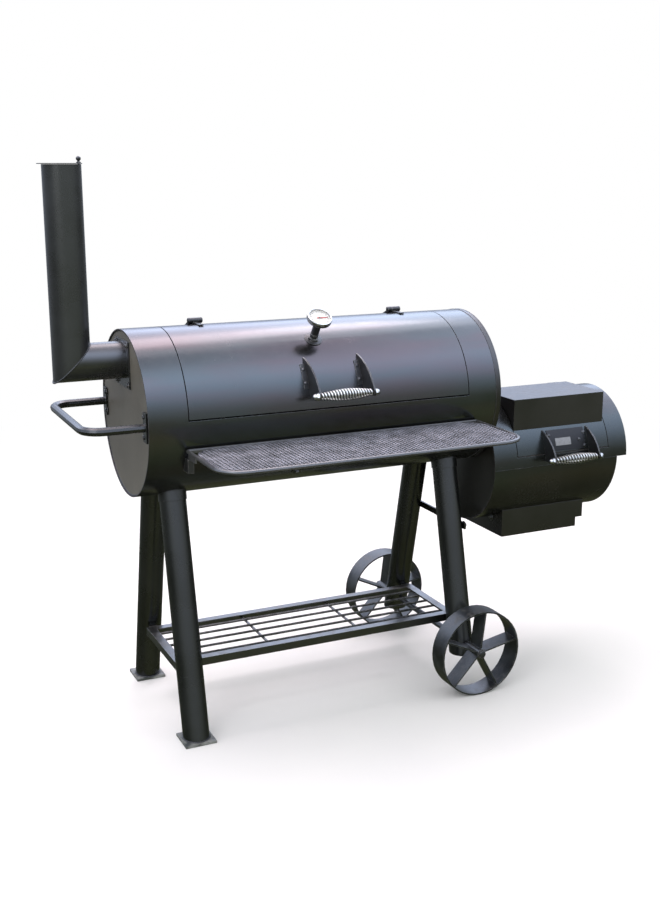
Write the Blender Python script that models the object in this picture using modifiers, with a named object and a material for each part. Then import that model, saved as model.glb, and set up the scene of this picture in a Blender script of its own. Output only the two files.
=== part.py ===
"""Barrel charcoal grill with an offset firebox, modelled as separate pieces.

Metres, +Z up. +X runs along the barrel from the chimney to the firebox, -Y is the cook's side,
and the origin is on the ground under the middle of the whole grill.
"""

import math

import bmesh
import bpy
from mathutils import Matrix, Vector

# ---- driving dimensions ----
SHEET = 0.003
GAP = 0.0003
ROUND = 64

BARREL_RADIUS = 0.203
BARREL_LENGTH = 0.936
BARREL_Z = 0.778
CAP_LIP = 0.013
END_RECESS = 0.003

LID_HALF_LENGTH = 0.3715
LID_FROM, LID_TO = 3.8, 95.0
SEAM = 0.0023
LID_HINGE = (0.030, 0.988)
HINGE_X = 0.275
HINGE_LENGTH = 0.034
KNUCKLE_RADIUS = 0.007
LEAF_THICKNESS = 0.0025
BASE_LEAF_REACH = 0.018
HINGE_PIN_RADIUS = 0.0025

HANDLE_X = 0.005
HANDLE_HALF_SPAN = 0.0715
LID_ROD = (-0.248, 0.829)
FIN_THICKNESS = 0.004
FIN_BOW = 0.23
LID_FIN_TIP = 41.2
DOOR_FIN_TIP = 32.6

DIAL_X = -0.022
DIAL_ANGLE = 55.7

CHIMNEY_RADIUS = 0.0444
CHIMNEY_X = -0.589
CHIMNEY_Z = 0.909
CHIMNEY_TOP = 1.360
DAMPER_PIVOT_X = -0.5495

FIREBOX_RADIUS = 0.1726
FIREBOX_Z = 0.5694
FIREBOX_LEFT = 0.4786
FIREBOX_RIGHT = 0.8796
HOOD_RIGHT = 0.9112
VENT_DROP = -0.045
DOOR_X = (0.552, 0.848)
DOOR_FROM, DOOR_TO = 10.5, 100.7
DOOR_HINGE = (0.042, 0.7429)
DOOR_KNUCKLE_RADIUS = 0.005
HOTPLATE_TOP = 0.750
HOTPLATE_Y = (-0.143, 0.030)
DOOR_HANDLE_X = 0.712
DOOR_ROD = (-0.211, 0.589)

THROAT_HALF_WIDTH = 0.080
THROAT_Z = (0.632, 0.708)

ASH_X = (0.548, 0.795)
ASH_LIP_X = 0.817
ASH_HALF_WIDTH = 0.110
ASH_BOTTOM = 0.360
ASH_STEP_Z = 0.386

LEG_RADIUS = 0.0325
LEG_X = 0.379
LEG_TOP_Y = 0.0768
LEG_FOOT_Y = 0.2086
LEG_CUT_Z = 0.083
FOOT_SIDE = 0.078
FOOT_THICKNESS = 0.006
BRACE_Z = (0.407, 0.424)

WHEEL_RADIUS = 0.115
WHEEL_WIDTH = 0.057
WHEEL_FACE_Y = 0.289
RIM_THICKNESS = 0.004
AXLE_RADIUS = 0.008

SHELF_X = (-0.400, 0.394)
SHELF_HALF_DEPTH = 0.125
SHELF_TOP = 0.170
SHELF_ROD_RADIUS = 0.0035

TABLE_X = 0.010
TABLE_HALF_LENGTH = 0.387
TABLE_Y = (-0.437, -0.203)
TABLE_TOP = 0.724
TABLE_ROD_RADIUS = 0.005
TABLE_CORNER = 0.062
TABLE_ARM_LENGTH = 0.048
TABLE_HOOK = (-0.160, 0.668)

GRIP_HALF_SPAN = 0.177
GRIP_X = -0.607
GRIP_RADIUS = 0.0099
GRIP_BEND = 0.045

# The middle of the whole grill's footprint, which becomes the origin.
MIDDLE = (0.1334, -0.0745)

# ---- scene, collections and materials ----
for old in list(bpy.data.objects):
    bpy.data.objects.remove(old, do_unlink=True)

PARTS = bpy.data.collections.new("barrel_grill")
CUTTERS = bpy.data.collections.new("cutters")
bpy.context.scene.collection.children.link(PARTS)
bpy.context.scene.collection.children.link(CUTTERS)

FINISHES = {
    "black_paint": ((0.035, 0.037, 0.042), 0.38, 0.35),
    "dark_plate": ((0.075, 0.070, 0.062), 0.55, 0.30),
    "mesh_steel": ((0.20, 0.19, 0.21), 0.42, 0.80),
    "bright_steel": ((0.72, 0.72, 0.70), 0.22, 1.00),
    "cast_iron": ((0.05, 0.05, 0.05), 0.70, 0.60),
    "dial_white": ((0.82, 0.82, 0.80), 0.35, 0.00),
    "glass": ((0.90, 0.92, 0.93), 0.05, 0.00),
    "red_paint": ((0.55, 0.03, 0.02), 0.45, 0.00),
}


def finish(name):
    material = bpy.data.materials.get(name)
    if material is None:
        colour, roughness, metallic = FINISHES[name]
        material = bpy.data.materials.new(name)
        material.use_nodes = True
        shader = material.node_tree.nodes["Principled BSDF"]
        shader.inputs["Base Color"].default_value = (*colour, 1.0)
        shader.inputs["Roughness"].default_value = roughness
        shader.inputs["Metallic"].default_value = metallic
    return material


# ---- modelling helpers ----
def add(name, mesh, material=None, smooth=False):
    """Put a mesh in the scene: a part when it has a material, a hidden cutter when it has none."""
    part = bpy.data.objects.new(name, mesh)
    if material:
        mesh.materials.append(finish(material))
        PARTS.objects.link(part)
    else:
        part.hide_render = True
        part.display_type = "WIRE"
        CUTTERS.objects.link(part)
    if smooth:
        mesh.shade_smooth()
        mesh.set_sharp_from_angle(angle=math.radians(35))
    return part


def from_bmesh(name, bm, material=None, smooth=False):
    mesh = bpy.data.meshes.new(name)
    bm.to_mesh(mesh)
    bm.free()
    return add(name, mesh, material, smooth)


def box(name, low, high, material=None):
    bm = bmesh.new()
    bmesh.ops.create_cube(bm, size=1.0)
    low, high = Vector(low), Vector(high)
    bmesh.ops.scale(bm, vec=high - low, verts=bm.verts)
    bmesh.ops.translate(bm, vec=(low + high) / 2, verts=bm.verts)
    return from_bmesh(name, bm, material)


def bar(name, start, end, radius, material=None, sides=16):
    """A round bar between two points."""
    start, end = Vector(start), Vector(end)
    run = end - start
    turn = run.to_track_quat("Z", "Y").to_matrix().to_4x4()
    bm = bmesh.new()
    bmesh.ops.create_cone(
        bm, cap_ends=True, segments=sides, radius1=radius, radius2=radius, depth=run.length
    )
    bmesh.ops.transform(bm, matrix=Matrix.Translation((start + end) / 2) @ turn, verts=bm.verts)
    return from_bmesh(name, bm, material, smooth=True)


def tube(name, start, end, radius, wall, material=None, sides=32):
    """A round tube: an open cylinder given its wall by Solidify."""
    start, end = Vector(start), Vector(end)
    run = end - start
    turn = run.to_track_quat("Z", "Y").to_matrix().to_4x4()
    bm = bmesh.new()
    bmesh.ops.create_cone(
        bm, cap_ends=False, segments=sides, radius1=radius, radius2=radius, depth=run.length
    )
    bmesh.ops.transform(bm, matrix=Matrix.Translation((start + end) / 2) @ turn, verts=bm.verts)
    part = from_bmesh(name, bm, material, smooth=True)
    thicken(part, wall)
    return part


def thicken(part, wall):
    solid = part.modifiers.new("wall", "SOLIDIFY")
    solid.thickness = wall
    solid.offset = -1
    solid.use_even_offset = True


def arc_sheet(name, x_range, angles, radius, axis_z, wall, material=None, step=5.0):
    """A sheet bent round the X axis. Angles run from the cook's side (0) over the top (90)."""
    count = max(2, round((angles[1] - angles[0]) / step))
    bm = bmesh.new()
    bmesh.ops.create_grid(bm, x_segments=1, y_segments=count, size=0.5)
    for vert in bm.verts:
        along = x_range[0] + (vert.co.x + 0.5) * (x_range[1] - x_range[0])
        angle = math.radians(angles[0] + (vert.co.y + 0.5) * (angles[1] - angles[0]))
        vert.co = (along, -radius * math.cos(angle), axis_z + radius * math.sin(angle))
    part = from_bmesh(name, bm, material, smooth=True)
    thicken(part, wall)
    return part


def turned(name, profile, place, material, steps=32):
    """A turned piece: the profile is (radius, height) from the top down, about local Z."""
    mesh = bpy.data.meshes.new(name)
    count = len(profile)
    edges = [(i, i + 1) for i in range(count - 1)]
    mesh.from_pydata([(radius, 0.0, height) for radius, height in profile], edges, [])
    part = add(name, mesh, material)
    part.matrix_world = place
    screw = part.modifiers.new("turn", "SCREW")
    screw.steps = steps
    screw.render_steps = steps
    screw.use_merge_vertices = True
    screw.merge_threshold = 0.00005
    screw.use_smooth_shade = False
    return part


def outline(name, points, half, axis, material=None, holes=()):
    """A flat plate: a 2D outline with holes, extruded by half its thickness each way."""
    curve = bpy.data.curves.new(name, "CURVE")
    curve.dimensions = "2D"
    curve.fill_mode = "BOTH"
    curve.extrude = half
    for loop in (points, *holes):
        spline = curve.splines.new("POLY")
        spline.points.add(len(loop) - 1)
        for point, (u, v) in zip(spline.points, loop):
            point.co = (u, v, 0.0, 1.0)
        spline.use_cyclic_u = True
    return solid_curve(name, curve, axis, material)


def wire(name, points, radius, material=None, cyclic=False, sides=2, smooth=True):
    """A round wire or rail along a list of points."""
    curve = bpy.data.curves.new(name, "CURVE")
    curve.dimensions = "3D"
    curve.bevel_depth = radius
    curve.bevel_resolution = sides
    curve.use_fill_caps = not cyclic
    spline = curve.splines.new("POLY")
    spline.points.add(len(points) - 1)
    for point, place in zip(spline.points, points):
        point.co = (*place, 1.0)
    spline.use_cyclic_u = cyclic
    return solid_curve(name, curve, Matrix.Identity(4), material, smooth)


def solid_curve(name, curve, place, material, smooth=False):
    """Turn a curve into a closed mesh object, so that it can be cut and joined."""
    guide = bpy.data.objects.new(name + "_curve", curve)
    CUTTERS.objects.link(guide)
    guide.matrix_world = place
    bpy.context.view_layer.update()
    graph = bpy.context.evaluated_depsgraph_get()
    mesh = bpy.data.meshes.new_from_object(guide.evaluated_get(graph))
    bm = bmesh.new()
    bm.from_mesh(mesh)
    bmesh.ops.remove_doubles(bm, verts=bm.verts, dist=0.00002)
    bmesh.ops.transform(bm, matrix=guide.matrix_world, verts=bm.verts)
    bmesh.ops.recalc_face_normals(bm, faces=bm.faces)
    bm.to_mesh(mesh)
    bm.free()
    bpy.data.objects.remove(guide, do_unlink=True)
    mesh.name = name
    return add(name, mesh, material, smooth)


def cut(part, *tools):
    for tool in tools:
        boolean(part, tool, "DIFFERENCE")


def join(part, *tools):
    for tool in tools:
        boolean(part, tool, "UNION")


def boolean(part, tool, operation):
    modifier = part.modifiers.new(operation.lower(), "BOOLEAN")
    modifier.operation = operation
    modifier.solver = "EXACT"
    modifier.object = tool


def facing(normal, place):
    """A frame at a place with its Z along a normal."""
    turn = Vector(normal).to_track_quat("Z", "Y").to_matrix().to_4x4()
    return Matrix.Translation(place) @ turn


def at_x(x):
    """A frame at x for a flat outline: u runs along Y and v along Z."""
    return Matrix(((0, 0, 1, x), (1, 0, 0, 0), (0, 1, 0, 0), (0, 0, 0, 1)))


def at_z(z):
    """A frame at z for a flat outline: u runs along X and v along Y."""
    return Matrix.Translation((0, 0, z))


def on_circle(radius, degrees, axis_z):
    angle = math.radians(degrees)
    return (-radius * math.cos(angle), axis_z + radius * math.sin(angle))


# ---- shared cutters ----
BARREL_CORE = bar(
    "barrel_core", (-0.6, 0, BARREL_Z), (0.6, 0, BARREL_Z), BARREL_RADIUS + GAP, sides=ROUND
)
FIREBOX_CORE = bar(
    "firebox_core", (0.4, 0, FIREBOX_Z), (1.0, 0, FIREBOX_Z), FIREBOX_RADIUS + GAP, sides=ROUND
)


# ---- barrel ----
def barrel():
    half = BARREL_LENGTH / 2
    shell = tube(
        "barrel_shell", (-half, 0, BARREL_Z), (half - CAP_LIP - GAP, 0, BARREL_Z),
        BARREL_RADIUS, SHEET, "black_paint", sides=ROUND,
    )
    seam_angle = math.degrees(SEAM / BARREL_RADIUS)
    opening = arc_sheet(
        "lid_opening", (-LID_HALF_LENGTH - SEAM, LID_HALF_LENGTH + SEAM),
        (LID_FROM - seam_angle, LID_TO + seam_angle), BARREL_RADIUS + 0.02, BARREL_Z, 0.05,
    )
    cut(shell, opening)

    inner = BARREL_RADIUS - SHEET - GAP
    left = -half + END_RECESS
    end = bar(
        "barrel_end_left", (left, 0, BARREL_Z), (left + SHEET, 0, BARREL_Z), inner,
        "dark_plate", sides=ROUND,
    )
    flue = bar(
        "flue_hole", (left - 0.02, 0, CHIMNEY_Z), (left + 0.02, 0, CHIMNEY_Z),
        CHIMNEY_RADIUS - SHEET, sides=32,
    )
    cut(end, flue)

    cap = bar(
        "barrel_end_right", (half - CAP_LIP, 0, BARREL_Z), (half, 0, BARREL_Z), BARREL_RADIUS,
        "black_paint", sides=ROUND,
    )
    hollow = bar(
        "cap_hollow", (half - 0.05, 0, BARREL_Z), (half - SHEET, 0, BARREL_Z),
        BARREL_RADIUS - SHEET, sides=ROUND,
    )
    throat = box("throat_hole", (half - 0.05, -THROAT_HALF_WIDTH - GAP, THROAT_Z[0] - GAP),
                 (half + 0.05, THROAT_HALF_WIDTH + GAP, THROAT_Z[1] + GAP))
    cut(cap, hollow, throat)

    for side, name in ((-1, "front"), (1, "rear")):
        y_low, y_high = sorted((side * 0.178, side * 0.199))
        box(f"grate_rail_{name}", (-0.450, y_low, 0.7660), (0.450, y_high, 0.7714), "black_paint")


def cooking_grates():
    half_depth, bar_width, slots = 0.196, 0.006, 10
    for name, x_low, x_high in (("left", -0.446, -0.003), ("right", 0.003, 0.446)):
        pitch = (x_high - x_low - bar_width) / slots
        holes = []
        for i in range(slots):
            a = x_low + bar_width + i * pitch
            b = a + pitch - bar_width
            for y_low, y_high in ((-half_depth + 0.008, -0.004), (0.004, half_depth - 0.008)):
                holes.append([(a, y_low), (a, y_high), (b, y_high), (b, y_low)])
        edge = [(x_low, -half_depth), (x_high, -half_depth), (x_high, half_depth), (x_low, half_depth)]
        outline(f"cooking_grate_{name}", edge, 0.003, at_z(0.7748), "cast_iron", holes)


# ---- hinges ----
def hinge(prefix, x, axis, tangent_y, cylinder, leaf_y, leaf_z, knuckle_radius=KNUCKLE_RADIUS):
    """A two-leaf hinge. The base lies tangent to a cylinder and the leaf lies flat in front."""
    radius, axis_z = cylinder
    y_axis, z_axis = axis
    third = HINGE_LENGTH / 3
    half = HINGE_LENGTH / 2

    surface_z = axis_z + math.sqrt(radius**2 - tangent_y**2)
    slope = math.asin(tangent_y / radius)
    along = Vector((0, math.cos(slope), -math.sin(slope)))
    up = Vector((0, math.sin(slope), math.cos(slope)))
    middle = Vector((0, tangent_y, surface_z)) + up * GAP
    front = middle - along * ((tangent_y - y_axis) / math.cos(slope))
    back = middle + along * BASE_LEAF_REACH
    corners = [front, back, back + up * LEAF_THICKNESS, middle + up * LEAF_THICKNESS,
               Vector((0, y_axis, z_axis))]
    base = outline(
        f"{prefix}_base", [(c.y, c.z) for c in corners], half, at_x(x), "black_paint"
    )
    knuckle = bar(f"{prefix}_base_knuckle", (x - half, y_axis, z_axis), (x + half, y_axis, z_axis),
                  knuckle_radius)
    slot = bar(f"{prefix}_slot", (x - third / 2 - GAP, y_axis, z_axis),
               (x + third / 2 + GAP, y_axis, z_axis), knuckle_radius + 0.0006)
    pin = bar(f"{prefix}_pin", (x - half + 0.001, y_axis, z_axis), (x + half - 0.001, y_axis, z_axis),
              HINGE_PIN_RADIUS, sides=12)
    join(base, knuckle)
    cut(base, slot)
    join(base, pin)

    leaf = box(f"{prefix}_leaf", (x - third / 2, leaf_y, leaf_z),
               (x + third / 2, y_axis, leaf_z + LEAF_THICKNESS), "black_paint")
    barrel_part = bar(f"{prefix}_leaf_knuckle", (x - third / 2, y_axis, z_axis),
                      (x + third / 2, y_axis, z_axis), knuckle_radius)
    bore = bar(f"{prefix}_bore", (x - 0.05, y_axis, z_axis), (x + 0.05, y_axis, z_axis),
               HINGE_PIN_RADIUS + GAP, sides=12)
    join(leaf, barrel_part)
    cut(leaf, bore)


# ---- spring handles ----
def fin_points(rod, tip_angle, cylinder, bottom_z):
    """Outline of a handle bracket: from its tip on the shell, round the rod, back to the shell."""
    radius, axis_z = cylinder
    tip = Vector(on_circle(radius - 0.002, tip_angle, axis_z))
    nose = Vector(rod)
    nose_radius = 0.0085
    front = nose + Vector((-nose_radius, 0.006))
    chord = front - tip
    bow = (tip + front) / 2 + Vector((chord.y, -chord.x)) * FIN_BOW
    points = []
    for i in range(9):
        t = i / 8
        points.append(tip * (1 - t) ** 2 + bow * (2 * t * (1 - t)) + front * t**2)
    for i in range(1, 6):
        angle = math.pi + i / 5 * math.pi / 2
        points.append(nose + Vector((math.cos(angle), math.sin(angle))) * nose_radius)
    inner = math.sqrt((radius - 0.002) ** 2 - (bottom_z - axis_z) ** 2)
    points.append(Vector((-inner, bottom_z)))
    return [(p.x, p.y) for p in points]


def spring_handle(prefix, middle_x, rod, tip_angle, cylinder, core):
    y, z = rod
    bottom_z = z - 0.0085
    for side, name in ((-1, "left"), (1, "right")):
        x = middle_x + side * HANDLE_HALF_SPAN
        fin = outline(
            f"{prefix}_bracket_{name}", fin_points(rod, tip_angle, cylinder, bottom_z),
            FIN_THICKNESS / 2, at_x(x), "black_paint",
        )
        hole = bar(f"{prefix}_rod_hole_{name}", (x - 0.02, y, z), (x + 0.02, y, z), 0.0043, sides=12)
        cut(fin, core, hole)

    shank, nut, inner = 0.004, 0.0075, HANDLE_HALF_SPAN + FIN_THICKNESS / 2 + GAP
    end = inner + 0.012
    half = [(0.0, end), (0.0040, end - 0.0012), (0.0065, end - 0.0045), (nut, end - 0.0055),
            (nut, inner), (shank, inner)]
    profile = half + [(r, -h) for r, h in reversed(half)]
    turned(f"{prefix}_handle_rod", profile, facing((1, 0, 0), (middle_x, y, z)), "bright_steel", 12)

    turns, per_turn, wire_radius = 10, 8, 0.0022
    span = HANDLE_HALF_SPAN - FIN_THICKNESS / 2 - wire_radius - GAP
    coil = []
    for i in range(turns * per_turn + 1):
        t = i / (turns * per_turn)
        radius = 0.0080 + 0.0050 * math.sin(math.pi * t)
        angle = 2 * math.pi * turns * t
        coil.append((middle_x - span + 2 * span * t, y + radius * math.cos(angle),
                     z + radius * math.sin(angle)))
    wire(f"{prefix}_handle_spring", coil, wire_radius, "bright_steel", sides=0)


# ---- lid ----
def lid():
    panel = arc_sheet(
        "lid", (-LID_HALF_LENGTH, LID_HALF_LENGTH), (LID_FROM, LID_TO), BARREL_RADIUS, BARREL_Z,
        SHEET, "black_paint", step=4.0,
    )
    angle = math.radians(DIAL_ANGLE)
    normal = Vector((0, -math.cos(angle), math.sin(angle)))
    foot = Vector((DIAL_X, 0, BARREL_Z)) + normal * BARREL_RADIUS
    probe_hole = bar("probe_hole", foot - normal * 0.02, foot + normal * 0.02, 0.0045)
    cut(panel, probe_hole)
    cylinder = (BARREL_RADIUS, BARREL_Z)
    for side, name in ((-1, "left"), (1, "right")):
        hinge(f"lid_hinge_{name}", side * HINGE_X, LID_HINGE, 0.055, cylinder, -0.020,
              BARREL_Z + BARREL_RADIUS + GAP)
    spring_handle("lid", HANDLE_X, LID_ROD, LID_FIN_TIP, cylinder, BARREL_CORE)
    thermometer(foot, normal)


def thermometer(foot, normal):
    case = [(0.0275, 0.0720), (0.0300, 0.0720), (0.0300, 0.0600), (0.0095, 0.0540),
            (0.0095, 0.0006), (0.0040, 0.0006), (0.0040, -0.0500), (0.0, -0.0500)]
    bowl = [(0.0, 0.0665), (0.0275, 0.0665)]
    turned("thermometer_case", bowl + case, facing(normal, foot), "bright_steel", 24)
    turned("thermometer_glass", [(0.0, 0.0710), (0.0272, 0.0710), (0.0272, 0.0695), (0.0, 0.0695)],
           facing(normal, foot), "glass", 24)
    frame = facing(normal, foot)
    blade = [(-0.007, -0.0012), (0.0, -0.0020), (0.023, -0.0004), (0.023, 0.0004), (0.0, 0.0020),
             (-0.007, 0.0012)]
    outline("thermometer_needle", blade, 0.0005, frame @ Matrix.Translation((0, 0, 0.0680)),
            "red_paint")


# ---- chimney ----
def chimney():
    half = BARREL_LENGTH / 2
    plate_face = -half + END_RECESS - GAP
    wall = 0.0025
    corner = Matrix.Translation((CHIMNEY_X, 0, CHIMNEY_Z)) @ Matrix.Rotation(math.radians(-45), 4, "Y")
    above = box("above_mitre", (-0.4, -0.2, -GAP / 2), (0.4, 0.2, 0.4))
    above.matrix_world = corner
    below = box("below_mitre", (-0.4, -0.2, -0.4), (0.4, 0.2, GAP / 2))
    below.matrix_world = corner

    elbow = tube("chimney_elbow", (CHIMNEY_X - 0.1, 0, CHIMNEY_Z), (plate_face - 0.0005, 0, CHIMNEY_Z),
                 CHIMNEY_RADIUS, wall, "black_paint", sides=28)
    flange = box("chimney_flange", (plate_face - SHEET, -0.056, CHIMNEY_Z - 0.064),
                 (plate_face, 0.056, CHIMNEY_Z + 0.048))
    flue = bar("elbow_flue", (plate_face - 0.02, 0, CHIMNEY_Z), (plate_face + 0.02, 0, CHIMNEY_Z),
               CHIMNEY_RADIUS - wall, sides=28)
    cut(flange, flue)
    cut(elbow, above)
    join(elbow, flange)

    stack = tube("chimney_stack", (CHIMNEY_X, 0, CHIMNEY_Z - 0.1), (CHIMNEY_X, 0, CHIMNEY_TOP),
                 CHIMNEY_RADIUS, wall, "black_paint", sides=28)
    cut(stack, below)
    lug = box("damper_lug", (DAMPER_PIVOT_X - 0.006, -0.006, CHIMNEY_TOP - 0.015),
              (CHIMNEY_X + CHIMNEY_RADIUS - 0.001, 0.006, CHIMNEY_TOP - 0.0005))
    bolt_hole = bar("damper_bolt_hole", (DAMPER_PIVOT_X, 0, CHIMNEY_TOP - 0.05),
                    (DAMPER_PIVOT_X, 0, CHIMNEY_TOP + 0.05), 0.0028 + GAP, sides=12)
    join(stack, lug)
    cut(stack, bolt_hole)

    disc_x, disc_radius = CHIMNEY_X - 0.004, 0.0505
    disc = bar("chimney_damper", (disc_x, 0, CHIMNEY_TOP + 0.0005), (disc_x, 0, CHIMNEY_TOP + 0.0025),
               disc_radius, "black_paint", sides=32)
    cut(disc, bolt_hole)
    bolt = [(0.0, 0.0180), (0.0030, 0.0172), (0.0052, 0.0150), (0.0058, 0.0124), (0.0050, 0.0095),
            (0.0032, 0.0078), (0.0032, 0.0052), (0.0055, 0.0050), (0.0055, 0.0028),
            (0.0028, 0.0028), (0.0028, -0.0180), (0.0, -0.0180)]
    turned("damper_bolt", bolt, Matrix.Translation((DAMPER_PIVOT_X, 0, CHIMNEY_TOP)),
           "bright_steel", 16)


# ---- end grip ----
def end_grip():
    start_x = -BARREL_LENGTH / 2 + END_RECESS - GAP
    points = [(start_x - 0.002, -GRIP_HALF_SPAN, BARREL_Z)]
    for side in (-1, 1):
        centre = (GRIP_X + GRIP_BEND, side * (GRIP_HALF_SPAN - GRIP_BEND))
        angles = [math.pi / 2 * i / 6 for i in range(7)]
        bend = [
            (centre[0] - GRIP_BEND * math.sin(a), centre[1] + side * GRIP_BEND * math.cos(a), BARREL_Z)
            for a in angles
        ]
        points += bend if side == -1 else bend[::-1]
    points.append((start_x - 0.002, GRIP_HALF_SPAN, BARREL_Z))
    grip = wire("end_handle", points, GRIP_RADIUS, "black_paint", sides=3)
    for side, name in ((-1, "front"), (1, "rear")):
        y = side * GRIP_HALF_SPAN
        plate = box(f"grip_plate_{name}", (start_x - 0.005, y - 0.013, BARREL_Z - 0.035),
                    (start_x, y + 0.013, BARREL_Z + 0.035))
        join(grip, plate)


# ---- legs, feet, wheels ----
def leg_centre(side, z):
    """Centre line of a splayed leg at a height."""
    top_z = BARREL_Z - BARREL_RADIUS
    return side * (LEG_TOP_Y + (LEG_FOOT_Y - LEG_TOP_Y) * (1 - z / top_z))


def legs():
    ground = box("ground", (-1, -1, -1), (1, 1, FOOT_THICKNESS + GAP))
    axle_end = box("axle_end", (0, -1, -1), (1, 1, LEG_CUT_Z))
    axle_hole = bar("axle_hole", (LEG_X, -0.4, WHEEL_RADIUS), (LEG_X, 0.4, WHEEL_RADIUS),
                    AXLE_RADIUS + GAP)
    for side, depth in ((-1, "front"), (1, "rear")):
        for end, name in ((-1, "left"), (1, "right")):
            x = end * LEG_X
            foot = Vector((x, leg_centre(side, -0.03), -0.03))
            head = Vector((x, leg_centre(side, 0.66), 0.66))
            leg = tube(f"leg_{depth}_{name}", foot, head, LEG_RADIUS, SHEET, "black_paint",
                       sides=20)
            low = Vector((x, leg_centre(side, 0.571), 0.571))
            collar = tube(f"collar_{depth}_{name}", low, head, LEG_RADIUS + 0.002, 0.0035, sides=20)
            join(leg, collar)
            cut(leg, BARREL_CORE, ground if end < 0 else axle_end)
            if end > 0:
                cut(leg, axle_hole)
        y = side * LEG_FOOT_Y
        half = FOOT_SIDE / 2
        box(f"foot_plate_{depth}", (-LEG_X - half, y - half, 0),
            (-LEG_X + half, y + half, FOOT_THICKNESS), "dark_plate")
    x = LEG_X + LEG_RADIUS + GAP
    box("leg_brace", (x, -0.135, BRACE_Z[0]), (x + 0.005, 0.135, BRACE_Z[1]), "black_paint")


def wheels():
    bar("axle", (LEG_X, -WHEEL_FACE_Y - 0.004, WHEEL_RADIUS),
        (LEG_X, WHEEL_FACE_Y + 0.004, WHEEL_RADIUS), AXLE_RADIUS, "bright_steel")
    for side, name in ((-1, "front"), (1, "rear")):
        y_low, y_high = sorted((side * WHEEL_FACE_Y, side * (WHEEL_FACE_Y - WHEEL_WIDTH)))
        wheel = tube(f"wheel_{name}", (LEG_X, y_low, WHEEL_RADIUS), (LEG_X, y_high, WHEEL_RADIUS),
                     WHEEL_RADIUS, RIM_THICKNESS, "black_paint", sides=40)
        hub = bar(f"hub_{name}", (LEG_X, y_low, WHEEL_RADIUS), (LEG_X, y_high, WHEEL_RADIUS), 0.0125)
        for i in range(5):
            spoke = box(f"spoke_{name}_{i}", (0.006, y_low + 0.004, -0.002),
                        (WHEEL_RADIUS - 0.002, y_high - 0.004, 0.002))
            turn = Matrix.Rotation(math.radians(-11 - 72 * i), 4, "Y")
            spoke.matrix_world = Matrix.Translation((LEG_X, 0, WHEEL_RADIUS)) @ turn
            join(wheel, spoke)
        join(wheel, hub)
        bore = bar(f"bore_{name}", (LEG_X, y_low - 0.02, WHEEL_RADIUS),
                   (LEG_X, y_high + 0.02, WHEEL_RADIUS), AXLE_RADIUS + GAP)
        cut(wheel, bore)


# ---- lower shelf ----
def lower_shelf():
    x_low, x_high = SHELF_X
    y = SHELF_HALF_DEPTH
    frame = box("lower_shelf_frame", (x_low, -y, SHELF_TOP - 0.020), (x_high, y, SHELF_TOP),
                "black_paint")
    under = box("under_flange", (x_low + 0.003, -y + 0.003, 0), (x_high - 0.003, y - 0.003,
                                                                 SHELF_TOP - 0.003))
    through = box("shelf_window", (x_low + 0.022, -y + 0.022, 0), (x_high - 0.022, y - 0.022, 1))
    cut(frame, under, through)
    for side in (-1, 1):
        for end in (-1, 1):
            y_low, y_high = sorted((side * (y - 0.001), side * 0.1362))
            tab = box(f"shelf_tab_{side}_{end}", (end * LEG_X - 0.010, y_low, SHELF_TOP - 0.019),
                      (end * LEG_X + 0.010, y_high, SHELF_TOP - 0.002))
            join(frame, tab)

    rod_z = SHELF_TOP - 0.003 - GAP - SHELF_ROD_RADIUS
    cross_z = rod_z - 0.005
    crosses = [
        bar(f"shelf_cross_{i}", (x, -y + 0.0035, cross_z), (x, y - 0.0035, cross_z),
            SHELF_ROD_RADIUS, sides=6)
        for i, x in enumerate((-0.135, 0.117))
    ]
    rods = [(x_low + 0.0035, row * 0.0415, rod_z) for row in (-2, -1, 1, 2)]
    grid = bar("lower_shelf_grid", (x_low + 0.0035, 0, rod_z), (x_high - 0.0035, 0, rod_z),
               SHELF_ROD_RADIUS, "black_paint", sides=6)
    join(grid, *crosses)
    for i, start in enumerate(rods):
        rod = bar(f"shelf_rod_{i}", start, (x_high - 0.0035, start[1], rod_z), SHELF_ROD_RADIUS,
                  sides=6)
        join(grid, rod)


# ---- front table ----
def rounded_loop(half_length, y_low, y_high, corner):
    """A rectangle with its two front corners rounded."""
    points = [(half_length, y_high), (-half_length, y_high)]
    for side in (-1, 1):
        centre = (side * (half_length - corner), y_low + corner)
        arc = []
        for i in range(9):
            a = math.pi / 2 * i / 8
            arc.append((centre[0] + side * corner * math.cos(a), centre[1] - corner * math.sin(a)))
        points += arc if side == -1 else arc[::-1]
    return points


def front_table():
    rod_z = TABLE_TOP - TABLE_ROD_RADIUS
    y_low, y_high = TABLE_Y
    loop = rounded_loop(TABLE_HALF_LENGTH, y_low, y_high, TABLE_CORNER)
    frame = wire("front_table_frame", [(TABLE_X + x, y, rod_z) for x, y in loop], TABLE_ROD_RADIUS,
                 "mesh_steel", cyclic=True)
    for side in (-1, 1):
        x = TABLE_X + side * (TABLE_HALF_LENGTH - 0.002)
        arm = box(f"table_arm_{side}", (x - 0.002, y_high - TABLE_ARM_LENGTH, rod_z - 0.018),
                  (x + 0.002, y_high, rod_z - 0.003))
        join(frame, arm)
    inset = TABLE_ROD_RADIUS + GAP
    panel = rounded_loop(TABLE_HALF_LENGTH - inset, y_low + inset, y_high - inset,
                         TABLE_CORNER - inset)
    place = Matrix.Translation((TABLE_X, 0, rod_z + 0.002))
    outline("front_table_mesh", panel, 0.001, place, "mesh_steel")
    for side, name in ((-1, "left"), (1, "right")):
        x = TABLE_X + side * (TABLE_HALF_LENGTH - 0.004)
        hook = box(f"table_hook_{name}", (x - 0.007, y_high - 0.006, TABLE_HOOK[1]),
                   (x + 0.007, TABLE_HOOK[0], rod_z - 0.018 - GAP), "black_paint")
        cut(hook, BARREL_CORE)


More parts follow.
